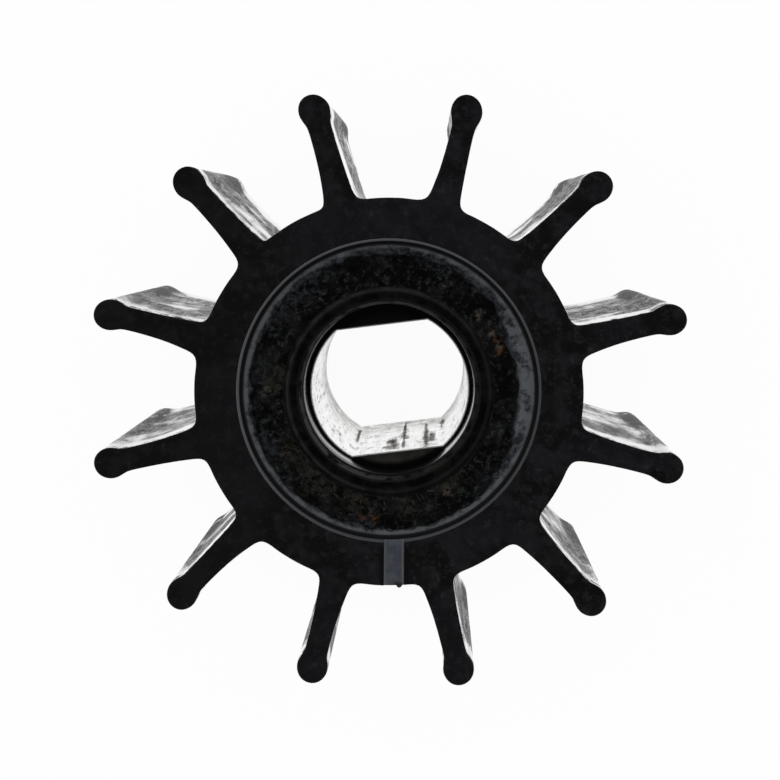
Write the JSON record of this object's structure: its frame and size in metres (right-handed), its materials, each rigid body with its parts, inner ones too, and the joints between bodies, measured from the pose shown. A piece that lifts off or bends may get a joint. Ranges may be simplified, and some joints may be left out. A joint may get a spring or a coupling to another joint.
{
  "type": "rubber pump impeller",
  "caption": "Flexible rubber impeller for a marine water pump, with straight beaded vanes on a hub moulded round a metal insert with a two-flat bore.",
  "frame": {"origin": "on the shaft axis, at the back end face, on which the part rests", "axes": "+Z along the shaft axis towards the grooved front end face; the vanes stand evenly about X and Y, and the groove lies near -Y"},
  "size_m": [0.092, 0.092, 0.0635],
  "materials": {
    "rubber": "matt black moulded rubber, chalky and scuffed with use",
    "insert_metal": "machined metal with brown-black stains"
  },
  "bodies": {
    "root": {"impeller_body": "rubber", "drive_insert": "insert_metal"}
  },
  "joints": []
}
